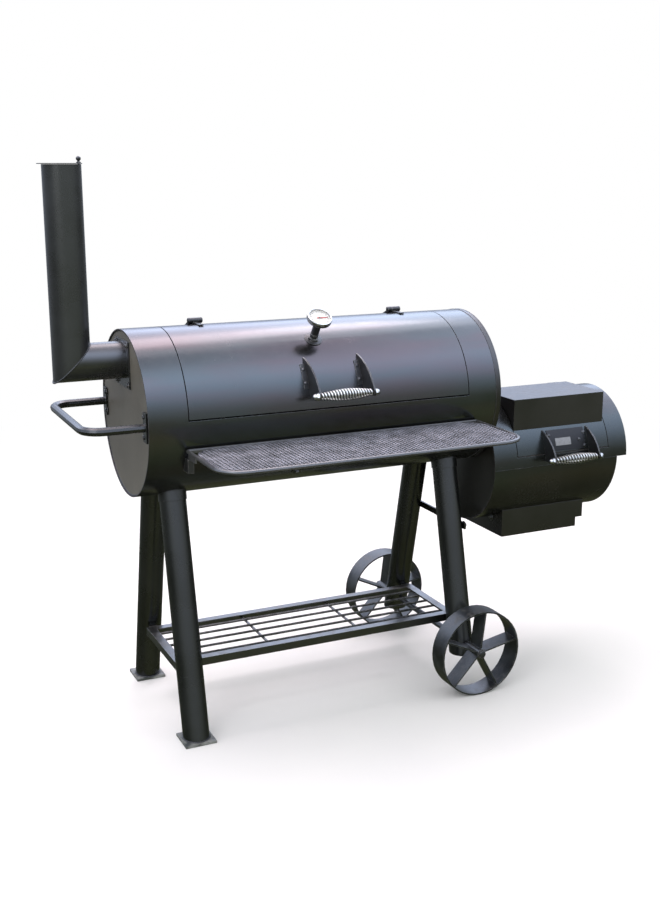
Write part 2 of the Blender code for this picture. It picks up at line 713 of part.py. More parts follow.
# ---- firebox ----
def firebox():
    upper = arc_sheet("firebox_upper_shell", (FIREBOX_LEFT, HOOD_RIGHT), (0.1, 179.9),
                      FIREBOX_RADIUS, FIREBOX_Z, SHEET, "black_paint", step=5.625)
    seam_angle = math.degrees(SEAM / FIREBOX_RADIUS)
    opening = arc_sheet("door_opening", (DOOR_X[0] - SEAM, DOOR_X[1] + SEAM),
                        (DOOR_FROM - seam_angle, DOOR_TO + seam_angle), FIREBOX_RADIUS + 0.02,
                        FIREBOX_Z, 0.05)
    cut(upper, opening)
    lower = arc_sheet("firebox_lower_shell", (FIREBOX_LEFT, FIREBOX_RIGHT), (-179.9, -0.1),
                      FIREBOX_RADIUS, FIREBOX_Z, SHEET, "black_paint", step=5.625)
    chute = box("ash_chute", (ASH_X[0] + 0.010, -0.095, 0.3), (ASH_X[1] - 0.005, 0.095, 0.47))
    cut(lower, chute)

    inner = FIREBOX_RADIUS - SHEET - GAP
    end_left = bar("firebox_end_left", (FIREBOX_LEFT, 0, FIREBOX_Z), (FIREBOX_LEFT + SHEET, 0, FIREBOX_Z),
                   inner, "dark_plate", sides=ROUND)
    mouth_x = BARREL_LENGTH / 2 - SHEET
    throat = box("throat", (mouth_x, -THROAT_HALF_WIDTH, THROAT_Z[0]),
                 (FIREBOX_LEFT + SHEET / 2, THROAT_HALF_WIDTH, THROAT_Z[1]))
    clear = THROAT_HALF_WIDTH - SHEET
    bore = box("throat_bore", (mouth_x - 0.05, -clear, THROAT_Z[0] + SHEET),
               (FIREBOX_LEFT + 0.05, clear, THROAT_Z[1] - SHEET))
    join(end_left, throat)
    cut(end_left, bore)

    end_right = bar("firebox_end_right", (FIREBOX_RIGHT - SHEET, 0, FIREBOX_Z),
                    (FIREBOX_RIGHT, 0, FIREBOX_Z), inner, "dark_plate", sides=ROUND)
    vent_z = FIREBOX_Z + VENT_DROP
    x = FIREBOX_RIGHT + GAP
    vent = bar("air_vent", (x, 0, vent_z), (x + 0.002, 0, vent_z), 0.062, "black_paint", sides=24)
    tab = box("vent_tab", (x, 0.055, vent_z - 0.008), (x + 0.002, 0.082, vent_z + 0.008))
    pull = box("vent_pull", (x, 0.076, vent_z - 0.008), (x + 0.016, 0.080, vent_z + 0.008))
    join(vent, tab, pull)
    for i in range(3):
        a = math.radians(90 + 120 * i)
        y, z = 0.034 * math.cos(a), vent_z + 0.034 * math.sin(a)
        hole = bar(f"vent_hole_{i}", (x - 0.02, y, z), (x + 0.02, y, z), 0.014, sides=12)
        cut(end_right, hole)
        cut(vent, hole)
    pivot = bar("vent_pivot", (x - 0.02, 0, vent_z), (x + 0.02, 0, vent_z), 0.0035 + GAP, sides=12)
    cut(end_right, pivot)
    cut(vent, pivot)
    bolt = [(0.0, 0.0080), (0.0050, 0.0076), (0.0070, 0.0060), (0.0070, 0.0026), (0.0035, 0.0026),
            (0.0035, -0.0080), (0.0, -0.0080)]
    turned("vent_bolt", bolt, facing((1, 0, 0), (x, 0, vent_z)), "bright_steel", 12)


def firebox_door():
    arc_sheet("firebox_door", DOOR_X, (DOOR_FROM, DOOR_TO), FIREBOX_RADIUS, FIREBOX_Z, SHEET,
              "black_paint", step=4.5)
    x_low, x_high = DOOR_X[0], DOOR_X[1] - 0.0045
    plate = box("firebox_hotplate", (x_low, HOTPLATE_Y[0], 0.600), (x_high, HOTPLATE_Y[1], HOTPLATE_TOP),
                "black_paint")
    hollow = box("hotplate_hollow", (x_low + SHEET, HOTPLATE_Y[0] + SHEET, 0.5),
                 (x_high - SHEET, HOTPLATE_Y[1] - SHEET, HOTPLATE_TOP - SHEET))
    cut(plate, hollow, FIREBOX_CORE)
    cylinder = (FIREBOX_RADIUS, FIREBOX_Z)
    for x, name in ((0.590, "left"), (0.806, "right")):
        hinge(f"door_hinge_{name}", x, DOOR_HINGE, 0.065, cylinder, HOTPLATE_Y[1] + GAP,
              DOOR_HINGE[1] - LEAF_THICKNESS / 2, DOOR_KNUCKLE_RADIUS)
    spring_handle("door", DOOR_HANDLE_X, DOOR_ROD, DOOR_FIN_TIP, cylinder, FIREBOX_CORE)
    arc_sheet("name_plate", (0.652, 0.772), (11.6, 31.0), FIREBOX_RADIUS + GAP + 0.0015,
              FIREBOX_Z, 0.0015, "dark_plate", step=5.0)


def ash_box():
    x_low, x_high = ASH_X
    y = ASH_HALF_WIDTH
    wall = 0.0025
    housing = box("ash_housing", (x_low, -y, ASH_BOTTOM), (x_high, y, 0.470), "black_paint")
    lip = box("ash_lip", (x_high - 0.010, -y, ASH_STEP_Z), (ASH_LIP_X, y, 0.470))
    hollow = box("ash_hollow", (x_low + wall, -y + wall, ASH_BOTTOM + wall),
                 (ASH_LIP_X - wall, y - wall, 0.5))
    floor = box("ash_floor_hole", (x_low + 0.020, -y + 0.020, 0.3), (ASH_LIP_X, y - 0.020, 0.5))
    mouth = box("ash_mouth", (x_high - 0.020, -y + wall, ASH_BOTTOM + wall),
                (ASH_LIP_X + 0.02, y - wall, ASH_STEP_Z))
    join(housing, lip)
    cut(housing, hollow, floor, mouth, FIREBOX_CORE)
    edge = wall + GAP
    drawer = box("ash_drawer", (x_low + edge, -y + edge, ASH_BOTTOM + edge),
                 (x_high - 0.0005, y - edge, ASH_STEP_Z - 0.0025), "dark_plate")
    tray = box("tray_hollow", (x_low + edge + 0.0015, -y + edge + 0.0015, ASH_BOTTOM + edge + 0.0015),
               (x_high - 0.002, y - edge - 0.0015, 1))
    cut(drawer, tray)
    pull = wire("drawer_pull", [(x_high - 0.0012, -0.030, 0.375), (x_high + 0.014, -0.026, 0.375),
                                (x_high + 0.014, 0.026, 0.375), (x_high - 0.0012, 0.030, 0.375)], 0.003)
    join(drawer, pull)


def charcoal_grate():
    z, half_depth, x_low, x_high, slots = 0.482, 0.140, 0.486, 0.872, 9
    pitch = (x_high - x_low - 0.008) / slots
    holes = []
    for i in range(slots):
        a = x_low + 0.008 + i * pitch
        b = a + pitch - 0.008
        for y_low, y_high in ((-half_depth + 0.010, -0.005), (0.005, half_depth - 0.010)):
            holes.append([(a, y_low), (a, y_high), (b, y_high), (b, y_low)])
    edge = [(x_low, -half_depth), (x_high, -half_depth), (x_high, half_depth), (x_low, half_depth)]
    outline("charcoal_grate", edge, 0.004, at_z(z), "cast_iron", holes)


# ---- joints: every moving piece hangs from an empty on its axis ----
def empty(name, place, parent=None):
    pivot = bpy.data.objects.new(name, None)
    pivot.empty_display_size = 0.05
    PARTS.objects.link(pivot)
    pivot.location = place
    bpy.context.view_layer.update()
    if parent:
        hang(pivot, parent)
    return pivot


def hang(part, parent):
    part.parent = parent
    part.matrix_parent_inverse = parent.matrix_world.inverted()


def assemble():
    """Hang the moving pieces from their pivots and everything from the origin empty."""
    angle = math.radians(DIAL_ANGLE)
    dial = (DIAL_X, -BARREL_RADIUS * math.cos(angle), BARREL_Z + BARREL_RADIUS * math.sin(angle))
    origin = empty("grill_origin", (0, 0, 0))
    lid_pivot = empty("lid_pivot", (0, *LID_HINGE), origin)
    pivots = (
        (empty("needle_pivot", dial, lid_pivot), ("thermometer_needle",)),
        (lid_pivot, ("lid", "lid_hinge_left_leaf", "lid_hinge_right_leaf", "lid_bracket_left",
                     "lid_bracket_right", "lid_handle_rod", "lid_handle_spring",
                     "thermometer_case", "thermometer_glass")),
        (empty("door_pivot", (0, *DOOR_HINGE), origin),
         ("firebox_door", "firebox_hotplate", "door_hinge_left_leaf", "door_hinge_right_leaf",
          "door_bracket_left", "door_bracket_right", "door_handle_rod", "door_handle_spring",
          "name_plate")),
        (empty("damper_pivot", (DAMPER_PIVOT_X, 0, CHIMNEY_TOP), origin),
         ("chimney_damper", "damper_bolt")),
        (empty("vent_pivot", (FIREBOX_RIGHT, 0, FIREBOX_Z + VENT_DROP), origin), ("air_vent",)),
        (empty("drawer_slide", (ASH_X[1], 0, ASH_BOTTOM), origin), ("ash_drawer",)),
        (empty("front_hub", (LEG_X, -WHEEL_FACE_Y, WHEEL_RADIUS), origin), ("wheel_front",)),
        (empty("rear_hub", (LEG_X, WHEEL_FACE_Y, WHEEL_RADIUS), origin), ("wheel_rear",)),
    )
    for pivot, names in pivots:
        for name in names:
            hang(bpy.data.objects[name], pivot)
    for part in [*PARTS.objects, *CUTTERS.objects]:
        if part.parent is None and part is not origin:
            hang(part, origin)
    origin.location = (-MIDDLE[0], -MIDDLE[1], 0)


barrel()
cooking_grates()
lid()
chimney()
end_grip()
legs()
wheels()
lower_shelf()
front_table()
firebox()
firebox_door()
ash_box()
charcoal_grate()
assemble()
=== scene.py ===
import math
import random

import bmesh
import bpy
import numpy as np
from mathutils import Matrix, Vector


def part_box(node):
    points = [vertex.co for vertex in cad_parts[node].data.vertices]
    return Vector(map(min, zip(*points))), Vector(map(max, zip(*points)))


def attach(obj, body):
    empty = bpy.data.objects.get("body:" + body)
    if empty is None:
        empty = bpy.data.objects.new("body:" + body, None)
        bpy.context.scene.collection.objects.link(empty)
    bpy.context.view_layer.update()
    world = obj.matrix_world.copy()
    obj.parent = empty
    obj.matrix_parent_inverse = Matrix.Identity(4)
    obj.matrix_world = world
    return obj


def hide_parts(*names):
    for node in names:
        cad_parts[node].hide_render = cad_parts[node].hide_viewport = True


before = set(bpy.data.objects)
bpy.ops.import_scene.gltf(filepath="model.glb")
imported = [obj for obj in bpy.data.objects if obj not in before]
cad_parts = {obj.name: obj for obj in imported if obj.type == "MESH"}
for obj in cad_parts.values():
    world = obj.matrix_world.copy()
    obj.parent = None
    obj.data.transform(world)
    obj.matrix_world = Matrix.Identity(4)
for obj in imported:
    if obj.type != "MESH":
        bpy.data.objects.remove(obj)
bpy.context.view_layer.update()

SKY_STRENGTH = 3.6
SMOOTH_LIMIT = 33.0  # degrees: CAD facets that meet at less than this are shaded as one surface
SHARP_LIMIT = 38.0  # degrees: the same for the pieces made here
DIAL_ANGLE = 55.7  # degrees round the barrel, from the front
FLOOR_DROP = 0.0005  # how far the floor lies under the feet


# ---- where things are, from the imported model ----
def middle(node):
    low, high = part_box(node)
    return (low + high) / 2


def half_size(node):
    low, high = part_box(node)
    return (high - low) / 2


BARREL = middle("barrel_end_right")
BARREL_RADIUS = half_size("barrel_end_right").z
BARREL_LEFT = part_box("barrel_shell")[0].x
BARREL_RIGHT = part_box("barrel_end_right")[1].x
BARREL_MIDDLE_X = (BARREL_LEFT + BARREL_RIGHT) / 2 + 0.0005
FIREBOX = middle("firebox_end_left")
FIREBOX_RADIUS = half_size("firebox_lower_shell").y
STACK = middle("chimney_stack")
STACK_RADIUS = half_size("chimney_stack").y
AXLE = middle("axle")


def on_barrel(x, angle, lift=0.0):
    """A point on the barrel's shell: angle 0 faces the cook and 90 is on top."""
    turn = math.radians(angle)
    radius = BARREL_RADIUS + lift
    return Vector((x, BARREL.y - radius * math.cos(turn), BARREL.z + radius * math.sin(turn)))


def on_firebox(x, angle, lift=0.0):
    """The same on the firebox's shell."""
    turn = math.radians(angle)
    radius = FIREBOX_RADIUS + lift
    return Vector((x, FIREBOX.y - radius * math.cos(turn), FIREBOX.z + radius * math.sin(turn)))


def outward(angle):
    """The direction straight out of either shell at an angle."""
    turn = math.radians(angle)
    return Vector((0, -math.cos(turn), math.sin(turn)))


# ---- materials ----
class Nodes:
    """Adds nodes to a node tree: an input is given as a value or as the socket that feeds it."""

    def __init__(self, tree):
        self.tree = tree

    def node(self, kind, inputs=None, **settings):
        made = self.tree.nodes.new("ShaderNode" + kind)
        for key, value in settings.items():
            setattr(made, key, value)
        for key, value in (inputs or {}).items():
            self.put(made.inputs[key], value)
        return made

    def put(self, socket, value):
        if isinstance(value, bpy.types.NodeSocket):
            self.tree.links.new(value, socket)
        else:
            socket.default_value = value

    def math(self, operation, a, b, c=0.0):
        return self.node("Math", {0: a, 1: b, 2: c}, operation=operation).outputs[0]

    def ramp(self, value, start, end, low=0.0, high=1.0):
        made = self.node(
            "MapRange", {0: value, 1: start, 2: end, 3: low, 4: high}, interpolation_type="SMOOTHSTEP"
        )
        return made.outputs[0]


class Shader(Nodes):
    """A procedural material: a Principled shader and the nodes that feed it."""

    def __init__(self, name):
        self.material = bpy.data.materials.new(name)
        self.material.use_nodes = True
        super().__init__(self.material.node_tree)
        self.surface = self.tree.nodes["Principled BSDF"]
        coordinates = self.node("TexCoord")
        self.place = coordinates.outputs["Object"]
        self.facing = coordinates.outputs["Normal"]

    def set(self, **values):
        for key, value in values.items():
            self.put(self.surface.inputs[key.replace("_", " ")], value)

    def noise(self, scale, detail=3.0, roughness=0.5, stretch=(1, 1, 1)):
        place = self.node("Mapping", {"Vector": self.place, "Scale": stretch}).outputs[0]
        return self.node(
            "TexNoise", {"Vector": place, "Scale": scale, "Detail": detail, "Roughness": roughness}
        ).outputs[0]

    def blend(self, share, a, b):
        a, b = ((*c, 1.0) if isinstance(c, tuple) else c for c in (a, b))
        return self.node("Mix", {0: share, 6: a, 7: b}, data_type="RGBA").outputs[2]

    def edges(self, radius):
        """1 along the edges of the piece, and the normal rounded over them."""
        rounded = self.node("Bevel", {"Radius": radius}, samples=4).outputs[0]
        flat = self.node("NewGeometry").outputs["Normal"]
        same = self.node("VectorMath", {0: rounded, 1: flat}, operation="DOT_PRODUCT")
        return self.ramp(same.outputs["Value"], 0.975, 0.82), rounded

    def relief(self, height, normal=None):
        made = self.node("Bump", {"Strength": 1.0, "Distance": 1.0, "Height": height})
        if normal is not None:
            self.put(made.inputs["Normal"], normal)
        return made.outputs[0]


def painted(
    name, dark, light, roughness, dust=0.25, wear=0.5, peel=0.000012, wobble=0.0, soot=None,
    specular=0.5, tint=0.0, patches=4.0, rubbed=(0.17, 0.17, 0.175),
):
    """Sprayed paint on steel: uneven tone, orange peel, dust on top, metal rubbed bare at edges.

    peel and wobble are the heights, in metres, of the orange peel and of the plate's own waviness.
    soot is the (y, z, radius) of a drum along x that is burnt on the inside. tint is how far the
    reflections are tinted, and patches how fine the uneven tone is.
    """
    s = Shader(name)
    tone = s.noise(patches, 5.0, 0.6)
    scuffs = s.noise(55.0, 7.0, 0.72)
    speckle = s.noise(420.0, 2.0, 0.5)
    colour = s.blend(s.ramp(tone, 0.32, 0.68), dark, light)
    up = s.node("SeparateXYZ", {0: s.facing}).outputs["Z"]
    film = s.math("MULTIPLY", s.ramp(up, 0.1, 1.0), s.ramp(scuffs, 0.42, 0.70))
    film = s.math("MULTIPLY", film, dust)
    colour = s.blend(film, colour, (0.19, 0.175, 0.16))
    edge, rounded = s.edges(0.0011)
    edge = s.math("MULTIPLY", edge, s.ramp(scuffs, 0.38, 0.60, 0.15, 1.0))
    edge = s.math("MULTIPLY", edge, wear)
    colour = s.blend(edge, colour, rubbed)
    rough = s.ramp(tone, 0.3, 0.7, roughness - 0.03, roughness + 0.05)
    rough = s.math("ADD", rough, s.ramp(scuffs, 0.45, 0.75, 0.0, 0.02))
    rough = s.math("ADD", rough, s.math("MULTIPLY", film, 0.5))
    if soot:
        y, z, radius = soot
        parts = s.node("SeparateXYZ", {0: s.place})
        across = s.math("SUBTRACT", parts.outputs["Y"], y)
        above = s.math("SUBTRACT", parts.outputs["Z"], z)
        square = s.math("ADD", s.math("MULTIPLY", across, across), s.math("MULTIPLY", above, above))
        inside = s.math("LESS_THAN", square, radius * radius)
        burnt = s.blend(s.ramp(scuffs, 0.4, 0.7), (0.010, 0.008, 0.007), (0.045, 0.032, 0.024))
        colour = s.blend(inside, colour, burnt)
        rough = s.math("ADD", rough, s.math("MULTIPLY", inside, 0.4))
    if tint:
        streaks = s.noise(1.0, 3.0, 0.55, (1.6, 9.0, 9.0))
        hue = s.blend(s.ramp(streaks, 0.36, 0.64), (1.0, 0.86, 0.92), (0.80, 0.96, 1.0))
        s.set(Specular_Tint=s.blend(tint, (1.0, 1.0, 1.0), hue))
    height = s.math("MULTIPLY", speckle, peel)
    if wobble:
        height = s.math("ADD", height, s.math("MULTIPLY", s.noise(5.0, 1.5, 0.4), wobble))
    s.set(
        Base_Color=colour, Roughness=rough, Normal=s.relief(height, rounded), Specular_IOR_Level=specular
    )
    return s.material


def bare_steel(name, dark, light, roughness, metallic=1.0, stain=(0.16, 0.12, 0.09)):
    """Plated or mill-finish steel, with a fine grain and a few stains."""
    s = Shader(name)
    tone = s.noise(30.0, 4.0, 0.6)
    grain = s.noise(700.0, 2.0, 0.6)
    colour = s.blend(s.ramp(tone, 0.3, 0.7), dark, light)
    spots = s.ramp(s.noise(90.0, 6.0, 0.7), 0.62, 0.80, 0.0, 0.55)
    colour = s.blend(spots, colour, stain)
    rough = s.ramp(grain, 0.3, 0.7, roughness - 0.06, roughness + 0.08)
    rough = s.math("ADD", rough, s.math("MULTIPLY", spots, 0.4))
    rounded = s.edges(0.0007)[1]
    s.set(
        Base_Color=colour, Roughness=rough, Metallic=metallic,
        Normal=s.relief(s.math("MULTIPLY", grain, 0.00002), rounded),
    )
    return s.material


def rough_iron(name):
    """Cast or hot-rolled iron, seasoned with oil and smoke."""
    s = Shader(name)
    tone = s.noise(25.0, 6.0, 0.7)
    grit = s.noise(600.0, 3.0, 0.6)
    colour = s.blend(s.ramp(tone, 0.35, 0.7), (0.020, 0.018, 0.016), (0.070, 0.058, 0.048))
    edge, rounded = s.edges(0.0010)
    colour = s.blend(s.math("MULTIPLY", edge, 0.35), colour, (0.16, 0.14, 0.12))
    s.set(
        Base_Color=colour, Roughness=s.ramp(tone, 0.3, 0.7, 0.50, 0.78),
        Normal=s.relief(s.math("MULTIPLY", grit, 0.00015), rounded),
    )
    return s.material


def enamel(name, colour, shade):
    """A smooth printed or lacquered surface."""
    s = Shader(name)
    tone = s.noise(120.0, 4.0, 0.6)
    s.set(
        Base_Color=s.blend(s.ramp(tone, 0.35, 0.75), colour, shade),
        Roughness=s.ramp(tone, 0.3, 0.7, 0.22, 0.36),
        Normal=s.relief(s.math("MULTIPLY", s.noise(900.0), 0.00002)),
    )
    return s.material


def clear_glass(name):
    """Thin flat glass, which mirrors a little on its front side and doesn't bend the view."""
    s = Shader(name)
    rough = s.ramp(s.noise(60.0, 4.0, 0.6), 0.4, 0.8, 0.02, 0.12)
    gloss = s.node("BsdfGlossy", {"Roughness": rough})
    through = s.node("BsdfTransparent", {"Color": (0.96, 0.97, 0.97, 1.0)})
    front = s.math("SUBTRACT", 1.0, s.node("NewGeometry").outputs["Backfacing"])
    share = s.math("MULTIPLY", s.node("Fresnel", {"IOR": 1.45}).outputs[0], front)
    both = s.node("MixShader", {0: share, 1: through.outputs[0], 2: gloss.outputs[0]})
    output = s.tree.nodes["Material Output"]
    s.tree.links.new(both.outputs[0], output.inputs["Surface"])
    return s.material


SOOT_BARREL = (BARREL.y, BARREL.z, BARREL_RADIUS - 0.0010)
SOOT_FIREBOX = (FIREBOX.y, FIREBOX.z, FIREBOX_RADIUS - 0.0010)
MAT = {
    "barrel": painted("barrel_paint", (0.0038, 0.0040, 0.0038), (0.0072, 0.0075, 0.0074), 0.205, dust=0.05,
                      wear=0.60, wobble=0.0016, soot=SOOT_BARREL, specular=0.90, tint=0.9),
    "firebox": painted("firebox_paint", (0.0042, 0.0048, 0.0040), (0.0085, 0.0092, 0.0080), 0.24,
                       dust=0.12, wear=0.60, wobble=0.0012, soot=SOOT_FIREBOX, specular=0.62, tint=0.9),
    "casing": painted("casing_paint", (0.0052, 0.0048, 0.0040), (0.0120, 0.0108, 0.0092), 0.30, dust=0.20,
                      wear=0.60, wobble=0.0010, specular=0.6),
    "plate": painted("end_plate_paint", (0.070, 0.065, 0.052), (0.110, 0.102, 0.083), 0.50, dust=0.20,
                     wear=0.7, wobble=0.0008, peel=0.00006),
    "tube": painted("tube_paint", (0.0022, 0.0027, 0.0024), (0.0062, 0.0074, 0.0074), 0.25, dust=0.08,
                    wear=0.4, wobble=0.0004, specular=0.66),
    "chimney": painted("chimney_paint", (0.0045, 0.0050, 0.0054), (0.0120, 0.0135, 0.0148), 0.26,
                       dust=0.08, wear=0.5, wobble=0.0005, specular=0.85),
    "bracket": painted("bracket_paint", (0.0065, 0.0070, 0.0075), (0.0130, 0.0135, 0.0140), 0.34,
                       dust=0.15, wear=1.0, rubbed=(0.46, 0.46, 0.45)),
    "wheel": painted("wheel_paint", (0.0016, 0.0024, 0.0024), (0.0190, 0.0230, 0.0240), 0.32, dust=0.35,
                     wear=1.0, peel=0.00008, specular=0.42, patches=24.0, rubbed=(0.26, 0.27, 0.28)),
    "foot": painted("foot_paint", (0.030, 0.036, 0.034), (0.230, 0.240, 0.228), 0.50, dust=0.6, wear=1.0,
                    peel=0.00010, patches=40.0),
    "shelf": painted("shelf_paint", (0.0030, 0.0032, 0.0032), (0.0090, 0.0094, 0.0096), 0.30, dust=0.45,
                     wear=1.0, specular=0.85, rubbed=(0.44, 0.44, 0.45)),
    "rail": painted("table_rail_paint", (0.016, 0.017, 0.017), (0.045, 0.046, 0.048), 0.30, dust=0.20,
                    wear=0.8, specular=0.9),
    "weld": painted("weld_bead_paint", (0.0080, 0.0080, 0.0085), (0.0180, 0.0180, 0.0190), 0.36, dust=0.2,
                    wear=0.6, peel=0.00025),
    "mesh": bare_steel("table_mesh_steel", (0.100, 0.100, 0.106), (0.210, 0.207, 0.222), 0.33,
                       metallic=0.75),
    "chrome": bare_steel("handle_chrome", (0.34, 0.34, 0.325), (0.52, 0.51, 0.475), 0.22,
                         stain=(0.26, 0.23, 0.20)),
    "spring": bare_steel("spring_chrome", (0.50, 0.50, 0.475), (0.70, 0.69, 0.64), 0.28,
                         stain=(0.26, 0.23, 0.20)),
    "rivet": bare_steel("rivet_steel", (0.050, 0.050, 0.050), (0.110, 0.108, 0.105), 0.46),
    "plaque": painted("name_plate_paint", (0.0060, 0.0066, 0.0080), (0.0110, 0.0118, 0.0140), 0.38,
                      dust=0.10, wear=0.6, specular=0.28),
    "zinc": bare_steel("zinc_plating", (0.13, 0.13, 0.128), (0.26, 0.257, 0.25), 0.36),
    "iron": rough_iron("seasoned_iron"),
    "dial": enamel("dial_enamel", (0.83, 0.82, 0.79), (0.74, 0.72, 0.68)),
    # black print on the dial, also used for the painted shade in the end cap's seam
    "print_and_shade": enamel("dial_print_and_seam_shade", (0.020, 0.020, 0.022), (0.035, 0.035, 0.036)),
    "needle": enamel("needle_red", (0.50, 0.030, 0.020), (0.38, 0.022, 0.016)),
    "label": enamel("label_strip", (0.26, 0.27, 0.29), (0.16, 0.17, 0.18)),
    "glass": clear_glass("dial_glass"),
}

NODE_LOOK = {
    "barrel": ("barrel_shell", "lid"),
    "firebox": ("firebox_upper_shell", "firebox_lower_shell", "firebox_door"),
    "casing": ("barrel_end_right", "firebox_end_left", "firebox_end_right", "firebox_hotplate",
               "ash_housing"),
    "plate": ("barrel_end_left",),
    "tube": ("leg_front_left", "leg_front_right", "leg_rear_left", "leg_rear_right", "leg_brace",
             "end_handle"),
    "chimney": ("chimney_stack", "chimney_elbow", "chimney_damper"),
    "bracket": ("lid_bracket_left", "lid_bracket_right", "door_bracket_left", "door_bracket_right",
                "lid_hinge_left_base", "lid_hinge_left_leaf", "lid_hinge_right_base",
                "lid_hinge_right_leaf", "door_hinge_left_base", "door_hinge_left_leaf",
                "door_hinge_right_base", "door_hinge_right_leaf", "table_hook_left",
                "table_hook_right", "air_vent", "grate_rail_front", "grate_rail_rear", "ash_drawer",
                "axle", "damper_bolt"),
    "plaque": ("name_plate",),
    "wheel": ("wheel_front", "wheel_rear"),
    "foot": ("foot_plate_front", "foot_plate_rear"),
    "shelf": ("lower_shelf_frame", "lower_shelf_grid"),
    "mesh": ("front_table_mesh",),
    "rail": ("front_table_frame",),
    "chrome": ("lid_handle_rod", "lid_handle_spring", "door_handle_rod", "door_handle_spring",
               "thermometer_case"),
    "zinc": ("vent_bolt",),
    "iron": ("cooking_grate_left", "cooking_grate_right", "charcoal_grate"),
    "needle": ("thermometer_needle",),
    "glass": ("thermometer_glass",),
}


def shade_round(obj):
    """Smooth shading over every edge flatter than SMOOTH_LIMIT, without touching the vertices."""
    mesh = obj.data
    count = len(mesh.loops)
    places = np.empty(len(mesh.vertices) * 3)
    mesh.vertices.foreach_get("co", places)
    places = places.reshape(-1, 3)
    corner = np.empty(count, np.int32)
    mesh.loops.foreach_get("vertex_index", corner)
    tri = places[corner].reshape(-1, 3, 3)
    cross = np.cross(tri[:, 1] - tri[:, 0], tri[:, 2] - tri[:, 0])
    size = np.linalg.norm(cross, axis=1)
    flat = cross / np.maximum(size, 1e-20)[:, None]
    sliver = size < 2e-9
    weight = np.zeros((len(tri), 3))
    for i in range(3):
        a = tri[:, (i + 1) % 3] - tri[:, i]
        b = tri[:, (i + 2) % 3] - tri[:, i]
        length = np.maximum(np.linalg.norm(a, axis=1) * np.linalg.norm(b, axis=1), 1e-20)
        weight[:, i] = np.arccos(np.clip((a * b).sum(1) / length, -1, 1))
    weight[sliver] = 0
    weight = weight.reshape(-1)
    face_of = np.repeat(np.arange(len(tri)), 3)
    _, key = np.unique(np.round(places / 1e-5).astype(np.int64), axis=0, return_inverse=True)
    key = key.reshape(-1)[corner]
    order = np.argsort(key, kind="stable")
    normals = np.zeros((count, 3))
    threshold = math.cos(math.radians(SMOOTH_LIMIT))
    for group in np.split(order, np.flatnonzero(np.diff(key[order])) + 1):
        faces = flat[face_of[group]]
        alike = (faces @ faces.T) > threshold
        summed = (alike * weight[group][None, :]) @ faces
        lengths = np.linalg.norm(summed, axis=1)
        whole = summed[np.argmax(lengths)]
        for row, target in enumerate(group):
            normals[target] = summed[row] if lengths[row] > 1e-6 else whole
    normals /= np.maximum(np.linalg.norm(normals, axis=1), 1e-12)[:, None]
    mesh.polygons.foreach_set("use_smooth", [True] * len(mesh.polygons))
    mesh.normals_split_custom_set(normals.tolist())


for look, names in NODE_LOOK.items():
    for node in names:
        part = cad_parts[node]
        part.data.materials.clear()
        part.data.materials.append(MAT[look])
        shade_round(part)


# ---- making pieces ----
def place_piece(obj, body, look):
    bpy.context.scene.collection.objects.link(obj)
    obj.data.materials.append(MAT[look])
    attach(obj, body)
    return obj


def mesh_piece(name, bm, body, look, smooth=True):
    bmesh.ops.recalc_face_normals(bm, faces=bm.faces)
    mesh = bpy.data.meshes.new(name)
    bm.to_mesh(mesh)
    bm.free()
    for polygon in mesh.polygons:
        polygon.use_smooth = smooth
    if smooth:
        mesh.set_sharp_from_angle(angle=math.radians(SHARP_LIMIT))
    return place_piece(bpy.data.objects.new(name, mesh), body, look)


def facing(place, normal):
    """A frame at place whose z axis is normal."""
    turn = Vector(normal).to_track_quat("Z", "Y").to_matrix().to_4x4()
    return Matrix.Translation(place) @ turn


def lathe(bm, profile, at, steps=32):
    """Turns (radius, height) points about at's z axis: a profile that ends where it starts makes a ring,
    and any other is closed at both ends."""
    rings = []
    for radius, height in profile:
        if radius < 1e-7:
            rings.append([bm.verts.new(at @ Vector((0, 0, height)))])
            continue
        rings.append([
            bm.verts.new(at @ Vector((
                radius * math.cos(2 * math.pi * i / steps), radius * math.sin(2 * math.pi * i / steps),
                height,
            )))
            for i in range(steps)
        ])
    for one, two in zip(rings, rings[1:]):
        for i in range(steps):
            j = (i + 1) % steps
            corners = [one[i % len(one)], one[j % len(one)], two[j % len(two)], two[i % len(two)]]
            corners = list(dict.fromkeys(corners))
            if len(corners) > 2:
                bm.faces.new(corners)
    if profile[0] == profile[-1]:
        bmesh.ops.remove_doubles(bm, verts=rings[0] + rings[-1], dist=1e-7)
        return
    for ring in (rings[0], rings[-1]):
        if len(ring) > 2:
            bm.faces.new(ring)


def wires(name, lines, radius, body, look, cyclic=False, resolution=2, radii=None):
    """Round wires along lists of points, as one piece. radii holds each point's share of the radius."""
    curve = bpy.data.curves.new(name, "CURVE")
    curve.dimensions = "3D"
    curve.bevel_depth = radius
    curve.bevel_resolution = resolution
    curve.use_fill_caps = True
    for points in lines:
        spline = curve.splines.new("POLY")
        spline.points.add(len(points) - 1)
        for i, (target, point) in enumerate(zip(spline.points, points)):
            target.co = (*point, 1.0)
            target.radius = radii[i % len(radii)] if radii else 1.0
        spline.use_cyclic_u = cyclic
        spline.use_smooth = True
    return place_piece(bpy.data.objects.new(name, curve), body, look)


def weld(name, points, radius):
    """A weld bead: a rippled wire along a closed joint."""
    points = [Vector(p) for p in points]
    points.append(points[0])
    spacing = 0.0016
    fine = []
    for a, b in zip(points, points[1:]):
        steps = max(1, round((b - a).length / spacing))
        fine += [a.lerp(b, i / steps) for i in range(steps)]
    wander = random.Random(name)
    radii = [1.0 + 0.16 * math.sin(i * 2.0) + wander.uniform(-0.10, 0.10) for i in range(len(fine))]
    wires(name, [fine], radius, "root", "weld", cyclic=True, resolution=1, radii=radii)


